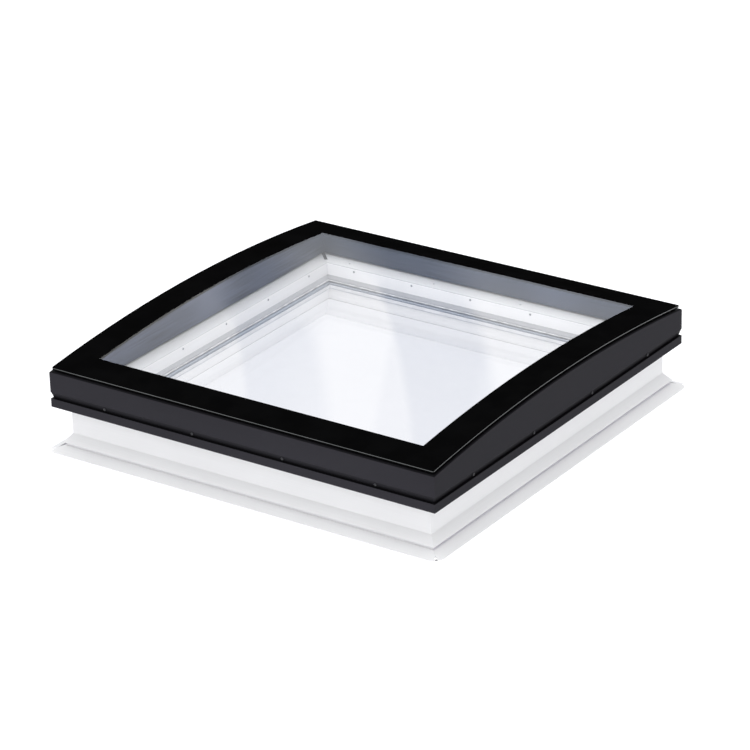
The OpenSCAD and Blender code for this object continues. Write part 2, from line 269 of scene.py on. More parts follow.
def material_sheet(name):
    """A new material and its empty node sheet."""
    material = bpy.data.materials.new(name)
    material.use_nodes = True
    return material, Sheet(material.node_tree)


def finished(material, sheet, shader):
    """The material, with its shader joined to its output."""
    sheet.add("ShaderNodeOutputMaterial", {}, {"Surface": shader})
    return material


# ---------------------------------------------------------------------------------------------
# Sizes and finishes that a user would change


def metres(name, description, default):
    return bpy.props.FloatProperty(
        name=name, description=description, default=default, unit="LENGTH", precision=4
    )


def colour(name, description, default):
    return bpy.props.FloatVectorProperty(
        name=name, description=description, default=default, subtype="COLOR", size=3, min=0.0, max=1.0
    )


def share(name, description, default, top=1.0):
    return bpy.props.FloatProperty(
        name=name, description=description, default=default, min=0.0, max=top, subtype="FACTOR"
    )


class SkylightSizes(bpy.types.PropertyGroup):
    """Sizes of the details that dress the frame."""

    border_width: metres("Printed border", "Width of the cover glass's black border", 88 * MM)
    groove_head: metres("Groove screw head", "Head diameter of the groove screws", 7.5 * MM)
    bead_head: metres("Bead screw head", "Head diameter of the bead screws", 6 * MM)
    ledge_head: metres("Ledge screw head", "Head diameter of the ledge screws", 5 * MM)


class SkylightFinishes(bpy.types.PropertyGroup):
    """Colours of the skylight's finishes."""

    kerb: colour("Kerb", "White plastic of the kerb", (0.88, 0.88, 0.886))
    bead: colour("Glazing beads", "White plastic of the glazing beads", (0.83, 0.83, 0.843))
    ledge: colour("Ledge", "Pale strips on the glazing beads", (0.66, 0.665, 0.675))
    cover: colour("Cover rails", "Dark coating of the cover rails", (0.0277, 0.0267, 0.0318))
    border: colour("Printed border", "Ceramic print on the cover glass", (0.0026, 0.0026, 0.0027))
    fascia: colour("Fascias", "Brushed aluminium of the fascias", (0.086, 0.102, 0.146))
    tint: colour("Glass tint", "What a pane lets through", (0.995, 0.997, 1.0))
    cover_roughness: share("Cover roughness", "Roughness of the rails' coating", 0.48)
    kerb_roughness: share("Kerb roughness", "Roughness of the kerb's plastic", 0.42)


class SkylightStudio(bpy.types.PropertyGroup):
    """Floor, light and camera."""

    floor_size: metres("Floor", "Side of the square floor", 80.0)
    floor_glow: share("Floor glow", "Light that the floor itself gives off", 0.62, 4.0)
    shaft_glow: share("Shaft glow", "Light that the floor gives off under the light shaft", 0.865, 4.0)
    sky_power: share("Sky box", "Power of the soft light high over the part, in watts", 24.0, 500.0)
    cover_power: share("Cover box", "Power of the daylight under the cover glass, in watts", 1.95, 50.0)
    foot_power: share("Foot box", "Power of the light from under the roof opening, in watts", 0.34, 50.0)
    shaft_power: share("Shaft box", "Power of the daylight under the sealed pane, in watts", 2.05, 50.0)
    azimuth: bpy.props.FloatProperty(
        name="Azimuth", description="Turn of the camera round the part", default=math.radians(34.994),
        subtype="ANGLE"
    )
    elevation: bpy.props.FloatProperty(
        name="Elevation", description="Angle of the camera above the horizon",
        default=math.radians(24.313), subtype="ANGLE"
    )
    roll: bpy.props.FloatProperty(
        name="Roll", description="Turn of the camera about its own axis",
        default=math.radians(-1.592), subtype="ANGLE"
    )
    lens: bpy.props.FloatProperty(
        name="Lens", description="Focal length on a 36 mm sensor", default=174.382, unit="CAMERA"
    )
    place: bpy.props.FloatVectorProperty(
        name="Camera place", description="Where the camera stands", size=3, unit="LENGTH",
        default=(4.99696, -7.11947, 4.05269)
    )


# ---------------------------------------------------------------------------------------------
# Finishes


def along(axis, squeeze):
    """Scales a place so that a pattern runs long along one axis."""
    return tuple(squeeze if name == axis else 1.0 for name in "XYZ")


def reach_of(place):
    """Distance from the middle, measured square to the sides."""
    return abs(place.part("X")).largest(abs(place.part("Y")))


def depth_of(place):
    """Depth below the cover glass's arched top."""
    across = place.part("Y")
    return (ARCH_RADIUS**2 - across * across).raised(0.5) + ARCH_AXIS - place.part("Z")


def extruded_plastic(name, base, roughness, axis, nose=None, kerb_shading=None):
    """Satin plastic with faint die lines along its length. A nose is the colour of its lower inner face
    and that face's top. Kerb shading is the colour of painted shade in a kerb's recess; with it come a
    painted shadow patch at two ends of the recess and painted light on the shaft wall."""
    material, sheet = material_sheet(name)
    place = sheet.place()
    reach, height = reach_of(place), place.part("Z")
    clouds = sheet.noise(place, 4.0, 3.0)
    lines = sheet.noise(place * along(axis, 0.01), 420.0, 3.0, 0.6)
    grain = sheet.noise(place, 1400.0, 2.0)
    tone = clouds * 0.6 + lines * 0.4
    coat = sheet.blend(tone.spread(0.0, 1.0), shade(base, 0.975), shade(base, 1.02))
    if nose:
        colour, top = nose
        coat = sheet.blend((height < top) * (reach < NOSE_IN), coat, colour)
    if kerb_shading:
        # Painted light: the shaft wall is a little lighter
        coat = sheet.blend(reach < SHAFT_WALL, coat, shade(base, 1.07))
        # Painted shade in the recess round the foot
        top, out = RECESS_BOUNDS[axis]
        recess = (height > RECESS_LOW) * (height < top) * (reach > RECESS_IN) * (reach < out)
        coat = sheet.blend(recess, coat, kerb_shading)
        # A painted shadow on the skirt beside the step, at two ends of the recess
        east, north = place.part("X"), place.part("Y")
        patch = (reach > PATCH_IN) * (reach < PATCH_OUT) * (height < PATCH_TOP)
        patch = patch * (abs(east).smallest(abs(north)) > PATCH_FROM)
        patch = patch * (east - north < 0.0) * (abs(east + north) > HALF_GLASS)
        coat = sheet.blend(patch, coat, shade(kerb_shading, PATCH_SHADE))
    shader = sheet.surface({
        "Base Color": coat,
        "Roughness": tone.spread(roughness - 0.05, roughness + 0.06),
        "Normal": sheet.bump(lines * 0.6 + grain * 0.4, 0.12, 0.2 * MM),
        "IOR": 1.5,
    })
    return finished(material, sheet, shader)


def powder_coat(name, base, roughness, axis):
    """Dark satin powder coat: a fine orange peel with lighter specks. Painted shade darkens it in the
    groove and along the top edge."""
    material, sheet = material_sheet(name)
    place = sheet.place()
    peel = sheet.noise(place, 1100.0, 2.0)
    fine = sheet.noise(place, 3600.0, 1.0)
    clouds = sheet.noise(place * along(axis, 0.35), 5.0, 3.0)
    tone = clouds * 0.7 + fine * 0.3
    coat = sheet.blend(tone.eased(0.35, 0.68), shade(base, 0.9), shade(base, 1.12))
    height = place.part("Z")
    # Painted shade in the groove and along the top edge, under the glass
    groove = (reach_of(place) < GROOVE_OUT) * (height > GROOVE_LOW - MM) * (height < GROOVE_HIGH)
    groove_shade = groove * height.eased(GROOVE_LOW, GROOVE_HIGH + 4 * MM, 0.9, 0.2)
    top_edge_shade = (depth_of(place) < RAIL_TOP_DEPTH) * 0.85
    shader = sheet.surface({
        "Base Color": sheet.blend(groove_shade.largest(top_edge_shade), coat, shade(base, 0.12)),
        "Roughness": clouds.spread(roughness - 0.04, roughness + 0.06),
        "Normal": sheet.bump(peel * 0.7 + fine * 0.3, 0.18, 0.15 * MM),
        "IOR": 1.45,
        "Specular IOR Level": 0.04,
    })
    return finished(material, sheet, shader)


def brushed_sheet(name, base, axis):
    """Dark anodised aluminium brushed along its length, with long soft streaks and a painted reflection
    that lightens one stretch.
    """
    material, sheet = material_sheet(name)
    place = sheet.place()
    brush = sheet.noise(place * along(axis, 0.012), 1500.0, 4.0, 0.65)
    streaks = sheet.noise(place * along(axis, 0.03), 170.0, 3.0, 0.6)
    waves = sheet.noise(place, 3.0, 2.0)
    tone = brush * 0.25 + streaks * 0.4 + waves * 0.35
    coat = sheet.blend(tone.eased(0.36, 0.64), shade(base, 0.6), shade(base, 1.45))
    # A painted reflection: a lighter stretch along the fascia
    run, middle = place.part(axis), REFLECTION_AT[axis]
    painted_reflection = run.eased(middle - REFLECTION_RUN, middle) * run.eased(middle, middle + REFLECTION_RUN, 1.0, 0.0)
    shader = sheet.surface({
        "Base Color": sheet.blend(painted_reflection * 0.6, coat, shade(base, 2.1)),
        "Roughness": brush.spread(0.34, 0.5),
        "Metallic": 0.9,
        "Normal": sheet.bump(brush, 0.14, 0.08 * MM),
    })
    return finished(material, sheet, shader)


def moulded_rubber(name, base, roughness):
    """Dull rubber or sealant, slightly dusty."""
    material, sheet = material_sheet(name)
    place = sheet.place()
    pores = sheet.noise(place, 1800.0, 3.0)
    dust = sheet.noise(place, 40.0, 4.0, 0.6)
    shader = sheet.surface({
        "Base Color": sheet.blend(dust.eased(0.35, 0.75), base, shade(base, 1.7)),
        "Roughness": dust.spread(roughness - 0.06, roughness + 0.08),
        "Normal": sheet.bump(pores, 0.2, 0.15 * MM),
        "IOR": 1.5,
    })
    return finished(material, sheet, shader)


def pane_compound(name, inner, outer):
    """Sealing compound between the panes, darker at its inner edge. The change from dark to pale is
    painted shade and painted light: pale where the bead's nose shades it.
    """
    material, sheet = material_sheet(name)
    place = sheet.place()
    pores = sheet.noise(place, 1800.0, 3.0)
    # Painted light and shade: dark at the inner edge, pale under the bead's nose
    tone = reach_of(place).eased(COMPOUND_IN, COMPOUND_OUT) * 0.9 + pores * 0.1
    shader = sheet.surface({
        "Base Color": sheet.blend(tone, inner, outer),
        "Roughness": pores.spread(0.45, 0.6),
        "Normal": sheet.bump(pores, 0.15, 0.1 * MM),
        "IOR": 1.5,
    })
    return finished(material, sheet, shader)


def screw_metal(name, dark, light, metallic, gloss):
    """Plated or coated steel with fine turning marks."""
    material, sheet = material_sheet(name)
    place = sheet.place()
    marks = sheet.noise(place, 2600.0, 3.0)
    tone = sheet.noise(place, 300.0, 2.0)
    shader = sheet.surface({
        "Base Color": sheet.blend(tone.spread(0.0, 1.0), dark, light),
        "Roughness": marks.spread(0.24, 0.4),
        "Metallic": metallic,
        "Specular IOR Level": gloss,
        "Normal": sheet.bump(marks, 0.1, 0.05 * MM),
    })
    return finished(material, sheet, shader)


def rough_cast(name, base):
    """Grainy cast aluminium."""
    material, sheet = material_sheet(name)
    place = sheet.place()
    grain = sheet.noise(place, 900.0, 4.0, 0.7)
    shader = sheet.surface({
        "Base Color": sheet.blend(grain.spread(0.0, 1.0), shade(base, 0.8), shade(base, 1.1)),
        "Roughness": grain.spread(0.45, 0.62),
        "Metallic": 0.85,
        "Normal": sheet.bump(grain, 0.4, 0.3 * MM),
    })
    return finished(material, sheet, shader)


def cut_foam(name, base):
    """Closed-cell foam with small round cells."""
    material, sheet = material_sheet(name)
    place = sheet.place()
    cells = sheet.add("ShaderNodeTexVoronoi", {}, {"Vector": place, "Scale": 420.0})
    shader = sheet.surface({
        "Base Color": sheet.blend(cells.eased(0.1, 0.6), shade(base, 1.05), shade(base, 0.8)),
        "Roughness": cells.eased(0.0, 0.7, 0.75, 0.92),
        "Normal": sheet.bump(1.0 - cells, 0.5, 0.6 * MM),
    })
    return finished(material, sheet, shader)


def moulded_plastic(name, base):
    """Plain moulded plastic with a light spark-eroded grain."""
    material, sheet = material_sheet(name)
    place = sheet.place()
    grain = sheet.noise(place, 1600.0, 3.0)
    tone = sheet.noise(place, 30.0, 2.0)
    shader = sheet.surface({
        "Base Color": sheet.blend(tone.spread(0.0, 1.0), shade(base, 0.93), shade(base, 1.06)),
        "Roughness": tone.spread(0.45, 0.58),
        "Normal": sheet.bump(grain, 0.2, 0.15 * MM),
        "IOR": 1.5,
    })
    return finished(material, sheet, shader)


def tab_plastic(name, base):
    """Milky plastic of the corner tabs, which glows a little with painted light, with a dark disc of
    painted shade in the fixing hole at the front right corner."""
    material, sheet = material_sheet(name)
    place = sheet.place()
    east, north = place.part("X"), place.part("Y")
    grain = sheet.noise(place, 1600.0, 3.0)
    tone = sheet.noise(place, 30.0, 2.0)
    # A disc of painted shade in the fixing hole at the front right corner
    off_x = abs(abs(east) - FIXING_AT)
    off_y = abs(abs(north) - FIXING_AT)
    hole_shade = (off_x * off_x + off_y * off_y).raised(0.5) < HOLE_SHADE_R
    hole_shade = hole_shade * (east > 0.0) * (north < 0.0)
    coat = sheet.blend(tone.spread(0.0, 1.0), shade(base, 0.97), shade(base, 1.02))
    shader = sheet.surface({
        "Base Color": sheet.blend(hole_shade, coat, HOLE_SHADE),
        "Roughness": tone.spread(0.45, 0.58),
        "Normal": sheet.bump(grain, 0.1, 0.1 * MM),
        "IOR": 1.5,
        # Painted light: the tab glows, except in the hole's painted shade
        "Emission Color": sheet.blend(hole_shade, coat, BLACK),
        "Emission Strength": TAB_PAINTED_GLOW,
    })
    return finished(material, sheet, shader)


def see_through(sheet, tint, mirror_ior):
    """A pane's clear glass: light goes straight through, and outer faces mirror a little."""
    clear = sheet.add("ShaderNodeBsdfTransparent", {}, {"Color": opaque(tint)})
    mirror = sheet.add("ShaderNodeBsdfGlossy", {}, {"Color": opaque(WHITE), "Roughness": 0.0})
    gloss = sheet.add("ShaderNodeFresnel", {}, {"IOR": mirror_ior})
    outside = 1.0 - sheet.add("ShaderNodeNewGeometry", output=6)
    return sheet.mix_surfaces(gloss * outside, clear, mirror)


def clear_pane(name, tint):
    """Clear float glass, with a trace of dust that shows as a faint veil."""
    material, sheet = material_sheet(name)
    glass = see_through(sheet, tint, PANE_IOR)
    veil = sheet.noise(sheet.place(), 9.0, 5.0, 0.65)
    dust = sheet.surface({"Base Color": opaque(DUST), "Roughness": 0.9})
    return finished(material, sheet, sheet.mix_surfaces(veil.eased(0.4, 0.9, 0.0, 0.02), glass, dust))


def printed_pane(name, tint, border, border_width):
    """The cover glass: clear in the middle, with a black printed border and a painted highlight along its
    edge.
    """
    material, sheet = material_sheet(name)
    place = sheet.place()
    reach, depth = reach_of(place), depth_of(place)
    tone = sheet.noise(place, 14.0, 3.0)
    print_finish = sheet.surface({
        "Base Color": sheet.blend(tone.spread(0.0, 1.0), shade(border, 0.85), shade(border, 1.2)),
        "Roughness": tone.spread(0.04, 0.07),
        "IOR": 1.5,
        "Specular IOR Level": 0.0,
    })
    # A painted highlight: a lighter band along the glass's edge
    highlight_finish = sheet.surface({
        "Base Color": sheet.blend(tone.spread(0.0, 1.0), *EDGE_HIGHLIGHT),
        "Roughness": tone.spread(0.2, 0.3),
        "IOR": 1.5,
    })
    highlight_band = (reach > EDGE_IN) * (depth > EDGE_HIGH) * (depth < EDGE_LOW)
    solid = sheet.mix_surfaces(highlight_band, print_finish, highlight_finish)
    glass = see_through(sheet, tint, COVER_IOR)
    return finished(material, sheet, sheet.mix_surfaces(reach > HALF_GLASS - border_width, glass, solid))


# ---------------------------------------------------------------------------------------------
# Pieces


def dress(node, material):
    """Gives a CAD node its finish."""
    piece = NODES[node]
    piece.data.materials.clear()
    piece.data.materials.append(material)
    return piece


def axis_of(side):
    """The axis that a side runs along."""
    return "X" if side in ("front", "back") else "Y"


def dress_sides(stem, make):
    """Dresses the four lengths of a frame with finishes that run along them."""
    finishes = {axis: make(axis) for axis in "XY"}
    for side in SIDES:
        dress(f"{stem}_{side}", finishes[axis_of(side)])


def new_piece(name, mesh, replaced=()):
    """A piece in place in its mesh, which rides on the frame."""
    piece = bpy.data.objects.new(name, mesh)
    bpy.context.scene.collection.objects.link(piece)
    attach(piece, "root")
    if replaced:
        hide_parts(*replaced)
    return piece


def tree_input(tree, name, kind, default):
    """Adds an input to a geometry tree and returns the key that a modifier sets it by."""
    made = tree.interface.new_socket(name, in_out="INPUT", socket_type=kind)
    if default is not None:
        made.default_value = default
    return made.identifier


# The inputs of the screw rows, each with its kind and its usual value
SCREW_INPUTS = (
    ("Sides", "NodeSocketInt", 4),
    ("Screws per side", "NodeSocketInt", 4),
    ("Pitch", "NodeSocketFloat", 280 * MM),
    ("Shift", "NodeSocketFloat", 0.0),
    ("Distance", "NodeSocketFloat", 590 * MM),
    ("Height", "NodeSocketFloat", 158 * MM),
    ("Tilt", "NodeSocketFloat", math.pi / 2),
    ("Head diameter", "NodeSocketFloat", 7.5 * MM),
    ("Head height", "NodeSocketFloat", 2.6 * MM),
    ("Shank diameter", "NodeSocketFloat", 4 * MM),
    ("Shank length", "NodeSocketFloat", 28 * MM),
    ("Finish", "NodeSocketMaterial", None),
)

# A screw's mesh: the points round its head and its shank, and the rings of its dome
HEAD_POINTS, SHANK_POINTS, DOME_RINGS = 28, 16, 14

# For a head with a radius and a height of 1: the dome's radius, and the size of a blade of the recess
DOME_R = 1.12
BLADE_X, BLADE_Y, BLADE_Z = 0.3, 1.12, 1.3
BLADE_ANGLES = (35, 125)


def screw_rows_tree():
    """Rows of cross-recess screws along the sides of a square. Facing rows start from the same end."""
    tree = bpy.data.node_groups.new("Screw rows", "GeometryNodeTree")
    names = {name: tree_input(tree, name, kind, default) for name, kind, default in SCREW_INPUTS}
    tree.interface.new_socket("Geometry", in_out="OUTPUT", socket_type="NodeSocketGeometry")
    sheet = Sheet(tree)
    source = sheet.add("NodeGroupInput").socket.node
    ask = {name: Signal(sheet, source.outputs[name]) for name in names}

    def vector(x=0.0, y=0.0, z=0.0):
        """A vector from three numbers or signals."""
        return sheet.add("ShaderNodeCombineXYZ", {}, {"X": x, "Y": y, "Z": z})

    def moved(shape, **how):
        """A shape with a Translation, a Rotation or a Scale."""
        return sheet.add("GeometryNodeTransform", {}, {"Geometry": shape, **how})

    def rod(points, radius, length):
        """A plain cylinder about the origin."""
        return sheet.add(
            "GeometryNodeMeshCylinder", {}, {"Vertices": points, "Radius": radius, "Depth": length}
        )

    head_r = ask["Head diameter"] * 0.5
    head_h = ask["Head height"]
    ball = sheet.add(
        "GeometryNodeMeshUVSphere", {}, {"Segments": HEAD_POINTS, "Rings": DOME_RINGS, "Radius": 1.0}
    )
    dome = moved(ball, Scale=vector(head_r * DOME_R, head_r * DOME_R, head_h))
    drum = moved(rod(HEAD_POINTS, head_r, head_h * 2.0), Translation=vector(z=head_h))
    head = sheet.add(
        "GeometryNodeMeshBoolean", {"operation": "INTERSECT", "solver": "EXACT"}, {"Mesh 2": [dome, drum]}
    )
    blade = sheet.add(
        "GeometryNodeMeshCube", {},
        {"Size": vector(head_r * BLADE_X, head_r * BLADE_Y, head_h * BLADE_Z)},
    )
    recess = [
        moved(blade, Translation=vector(z=head_h), Rotation=vector(z=math.radians(angle)))
        for angle in BLADE_ANGLES
    ]
    cut = sheet.add(
        "GeometryNodeMeshBoolean", {"operation": "DIFFERENCE", "solver": "EXACT"},
        {"Mesh 1": head, "Mesh 2": recess},
    )
    length = ask["Shank length"]
    shank = rod(SHANK_POINTS, ask["Shank diameter"] * 0.5, length)
    shank = moved(shank, Translation=vector(z=length * -0.5))
    screw = sheet.add("GeometryNodeJoinGeometry", {}, {0: [shank, cut]})
    count, pitch = ask["Screws per side"], ask["Pitch"]
    row = sheet.add(
        "GeometryNodeMeshLine", {},
        {"Count": count, "Start Location": vector((count - 1.0) * pitch * -0.5), "Offset": vector(pitch)},
    )
    row = sheet.add(
        "GeometryNodeInstanceOnPoints", {},
        {"Points": row, "Instance": screw, "Rotation": vector(ask["Tilt"])},
    )
    row = moved(row, Translation=vector(0.0, ask["Distance"] * -1.0, ask["Height"]))
    corners = sheet.add("GeometryNodeMeshLine", {}, {"Count": ask["Sides"], "Offset": (0.0, 0.0, 0.0)})
    number = sheet.add("GeometryNodeInputIndex")
    turn = number * math.tau / ask["Sides"]
    rows = sheet.add(
        "GeometryNodeInstanceOnPoints", {}, {"Points": corners, "Instance": row, "Rotation": vector(z=turn)}
    )
    # Rows 1 and 2 face rows 3 and 0, so their shift goes the other way
    sign = 1.0 - (number > 0.5) * (number < 2.5) * 2.0
    rows = sheet.add(
        "GeometryNodeTranslateInstances", {},
        {"Instances": rows, "Translation": vector(ask["Shift"] * sign), "Local Space": True},
    )
    whole = sheet.add("GeometryNodeRealizeInstances", {}, {"Geometry": rows})
    whole = sheet.add("GeometryNodeSetMaterial", {}, {"Geometry": whole, "Material": ask["Finish"]})
    sheet.add("NodeGroupOutput", {}, {0: whole})
    return tree, names


def grown(name, tree, names, values):
    """Runs a geometry tree once and keeps its result as a plain mesh."""
    seed = bpy.data.objects.new(name + "_seed", bpy.data.meshes.new(name + "_seed"))
    bpy.context.scene.collection.objects.link(seed)
    modifier = seed.modifiers.new("Rows", "NODES")
    modifier.node_group = tree
    for label, value in values.items():
        modifier[names[label]] = value
    view = bpy.context.evaluated_depsgraph_get()
    mesh = bpy.data.meshes.new_from_object(seed.evaluated_get(view), depsgraph=view)
    mesh.name = name
    seed.modifiers.clear()
    bpy.data.objects.remove(seed)
    return mesh


# Points of a mesh that are nearer than this are one point
SEAM = 0.002 * MM


def smooth_under(mesh, degrees):
    """Joins a mesh's seams, drops its doubled faces, and shades it smooth except over sharp edges."""
    shape = bmesh.new()
    shape.from_mesh(mesh)
    bmesh.ops.remove_doubles(shape, verts=shape.verts, dist=SEAM)
    limit = math.radians(degrees)
    for face in shape.faces:
        face.smooth = True
    for edge in shape.edges:
        edge.smooth = len(edge.link_faces) == 2 and edge.calc_face_angle() < limit
    shape.to_mesh(mesh)
    shape.free()
    mesh.validate()


class SKYLIGHT_OT_kerb(bpy.types.Operator):
    """Dress the white kerb lengths and the corner fixing tabs"""

    bl_idname = "skylight.kerb"
    bl_label = "Kerb"

    def execute(self, context):
        finishes = context.scene.skylight_finishes
        colour, roughness = tuple(finishes.kerb), finishes.kerb_roughness
        dress_sides("kerb", lambda axis: extruded_plastic(
            f"kerb_plastic_{axis}", colour, roughness, axis, kerb_shading=RECESS_SHADE[axis]))
        dress("corner_tabs", tab_plastic("tab_plastic", TAB_WHITE))
        return {"FINISHED"}


class SKYLIGHT_OT_inside(bpy.types.Operator):
    """Dress what the kerb and the cover hide: cores, keys, packers and blocks"""

    bl_idname = "skylight.inside"
    bl_label = "Hidden parts"

    def execute(self, context):
        foam = cut_foam("core_foam", FOAM)
        cast = rough_cast("key_metal", CAST_METAL)
        plastic = moulded_plastic("packer_plastic", PACKER_GREY)
        for side in SIDES:
            dress(f"core_{side}", foam)
        for corner in CORNERS:
            dress(f"corner_key_{corner}", cast)
        for node in ("glazing_packers", "fixing_blocks"):
            dress(node, plastic)
        return {"FINISHED"}


class SKYLIGHT_OT_rubber(bpy.types.Operator):
    """Dress the gaskets, the edge seal, the spacer and the bonding strips"""

    bl_idname = "skylight.rubber"
    bl_label = "Gaskets and seals"

    def execute(self, context):
        rubber = moulded_rubber("gasket_rubber", SEAL_BLACK, 0.62)
        pale = moulded_rubber("glazing_rubber", GASKET_GREY, 0.6)
        sealant = moulded_rubber("bond_sealant", BOND_BLACK, 0.5)
        for node in ("cover_seal", "corner_seals"):
            dress(node, rubber)
        dress("upper_glazing_gasket", pale)
        dress("lower_glazing_gasket", moulded_plastic("seat_rubber", SEAT_WHITE))
        dress("edge_seal", pane_compound("edge_compound", *COMPOUND))
        dress("spacer_frame", moulded_plastic("spacer_finish", SPACER_GREY))
        for side in SIDES:
            dress(f"bond_{side}", sealant)
        return {"FINISHED"}


class SKYLIGHT_OT_panes(bpy.types.Operator):
    """Dress the sealed double pane"""

    bl_idname = "skylight.panes"
    bl_label = "Sealed double pane"

    def execute(self, context):
        tint = tuple(context.scene.skylight_finishes.tint)
        dress("inner_pane", clear_pane("inner_pane_glass", tint))
        dress("outer_pane", clear_pane("outer_pane_glass", tint))
        return {"FINISHED"}


class SKYLIGHT_OT_beads(bpy.types.Operator):
    """Dress the glazing beads and the ledge strips on them"""

    bl_idname = "skylight.beads"
    bl_label = "Glazing beads and ledge"

    def execute(self, context):
        finishes = context.scene.skylight_finishes
        white, pale = tuple(finishes.bead), tuple(finishes.ledge)
        # Lit and shaded copies: beads and ledge strips are painted darker on the sides along Y
        dress_sides("bead", lambda axis: extruded_plastic(
            f"bead_plastic_{axis}", shade(white, BEAD_SIDE_SHADING[axis]), 0.38, axis, BEAD_NOSE))
        dress_sides("ledge_strip", lambda axis: extruded_plastic(
            f"ledge_finish_{axis}", shade(pale, BEAD_SIDE_SHADING[axis]), 0.2, axis, LEDGE_NOSE))
        return {"FINISHED"}


class SKYLIGHT_OT_rails(bpy.types.Operator):
    """Dress the dark cover rails"""

    bl_idname = "skylight.rails"
    bl_label = "Cover rails"

    def execute(self, context):
        finishes = context.scene.skylight_finishes
        colour, roughness = tuple(finishes.cover), finishes.cover_roughness
        # Lit and shaded copies of one coat: the sides along Y are painted darker
        dress_sides("rail", lambda axis: powder_coat(
            f"rail_coat_{axis}", shade(colour, RAIL_SIDE_SHADING[axis]), roughness, axis))
        return {"FINISHED"}


class SKYLIGHT_OT_fascias(bpy.types.Operator):
    """Dress the brushed fascias inside the cover"""

    bl_idname = "skylight.fascias"
    bl_label = "Fascias"

    def execute(self, context):
        colour = tuple(context.scene.skylight_finishes.fascia)
        # Lit and shaded copies of one finish: the sides along X are painted darker
        dress_sides("fascia", lambda axis: brushed_sheet(
            f"fascia_metal_{axis}", shade(colour, FASCIA_SIDE_SHADING[axis]), axis))
        return {"FINISHED"}


class SKYLIGHT_OT_cover_glass(bpy.types.Operator):
    """Dress the arched cover glass with its printed border"""

    bl_idname = "skylight.cover_glass"
    bl_label = "Cover glass"

    def execute(self, context):
        finishes, sizes = context.scene.skylight_finishes, context.scene.skylight_sizes
        dress("cover_glass", printed_pane(
            "printed_glass", tuple(finishes.tint), tuple(finishes.border), sizes.border_width))
        return {"FINISHED"}


class SKYLIGHT_OT_screws(bpy.types.Operator):
    """Set the rows of cross-recess screws in the groove, the beads and the ledge"""

    bl_idname = "skylight.screws"
    bl_label = "Screws"

    def execute(self, context):
        sizes = context.scene.skylight_sizes
        tree, names = screw_rows_tree()
        steel = screw_metal("screw_plating", *STEEL, 0.95, 0.5)
        coated = screw_metal("screw_coating", *COATED_STEEL, 0.0, 0.6)
        rows = {
            "groove_screws": {
                "Sides": 4, "Screws per side": 4, "Pitch": 280 * MM, "Distance": HALF_GLASS + 2.9 * MM,
                "Height": 157.6 * MM, "Tilt": math.pi / 2, "Head diameter": sizes.groove_head,
                "Head height": 2.6 * MM, "Shank diameter": 4 * MM, "Shank length": 28 * MM,
            },
            "bead_screws": {
                "Sides": 4, "Screws per side": 5, "Pitch": 192 * MM, "Shift": 13 * MM,
                "Distance": HALF_GLASS - 129.5 * MM, "Height": 171 * MM, "Tilt": -math.pi / 2,
                "Head diameter": sizes.bead_head, "Head height": 1.8 * MM,
                "Shank diameter": 3.5 * MM, "Shank length": 40 * MM,
            },
            "ledge_screws": {
                "Sides": 2, "Screws per side": 4, "Pitch": 280 * MM, "Shift": 20 * MM,
                "Distance": HALF_GLASS - 107.5 * MM, "Height": 181.5 * MM, "Tilt": 0.0,
                "Head diameter": sizes.ledge_head, "Head height": 1.2 * MM,
                "Shank diameter": 3 * MM, "Shank length": 16 * MM,
            },
        }
        for node, values in rows.items():
            outside = node == "groove_screws"
            mesh = grown(node + "_set", tree, names, values | {"Finish": coated if outside else steel})
            smooth_under(mesh, 35)
            new_piece(node + "_set", mesh, (node,))
        return {"FINISHED"}


# ---------------------------------------------------------------------------------------------
# Studio


# Between these reaches the floor turns from dark, under the shaft, to pale
FLOOR_IN, FLOOR_OUT = HALF_GLASS - 60 * MM, HALF_GLASS
SHAFT_FLOOR, OPEN_FLOOR = 0.12, 0.59


def floor_finish(glow, shaft_glow):
    """Pale floor with a barely visible grain. It gives off light, and more of it under the shaft."""
    material, sheet = material_sheet("pale_floor")
    place = sheet.place()
    grain = sheet.noise(place, 2.0, 4.0)
    light = reach_of(place).eased(FLOOR_IN, FLOOR_OUT, shaft_glow, glow)
    tone = reach_of(place).eased(FLOOR_IN, FLOOR_OUT, SHAFT_FLOOR, OPEN_FLOOR) * grain.spread(1.0, 1.03)
    shader = sheet.surface({
        "Base Color": sheet.add("ShaderNodeCombineXYZ", {}, {0: tone, 1: tone, 2: tone * 1.01}),
        "Roughness": grain.spread(0.75, 0.85),
        "Specular IOR Level": 0.0,
        "Emission Color": sheet.add("ShaderNodeCombineXYZ", {}, {0: light, 1: light, 2: light * 1.03}),
        "Emission Strength": 1.0,
    })
    return finished(material, sheet, shader)


# The sky's light at its rim, half-way up, and what its top adds to that
RIM_LIGHT, MIDDLE_LIGHT, TOP_LIGHT = 0.83, 0.7, 1.25

# How much of the light is lost to the east and to the north
EAST_LOSS, NORTH_LOSS = 0.07, 0.12

# Gloss mirrors bright screens with bluish gaps between them. Each gap has the X part of the heading
# where it starts, the one where it ends, how soft these two edges are, and the Z part below which the
# gap is faint and blurred
SCREEN_GAPS = (
    (-0.5590, -0.5400, 0.0012, 0.0028, 0.38),
    (-0.5200, -0.4975, 0.0014, 0.0025, 0.25),
)
GAP_BLUR, GAP_FADE, GAP_FAINT = 0.007, 0.08, 0.6

# The gaps lean: they shift by this much X for each unit of Z above this Z
GAP_LEAN, GAP_HEIGHT = 0.065, 0.42

# The colours of the sky, of the gaps, and of the screens low down, which turn white between two Z parts
SKY_COLOUR, GAP_COLOUR, LOW_SCREEN = (0.985, 0.99, 1.0), (0.2, 0.26, 0.4), (0.8, 0.86, 0.97)
SCREEN_LOW, SCREEN_HIGH = 0.2, 0.32


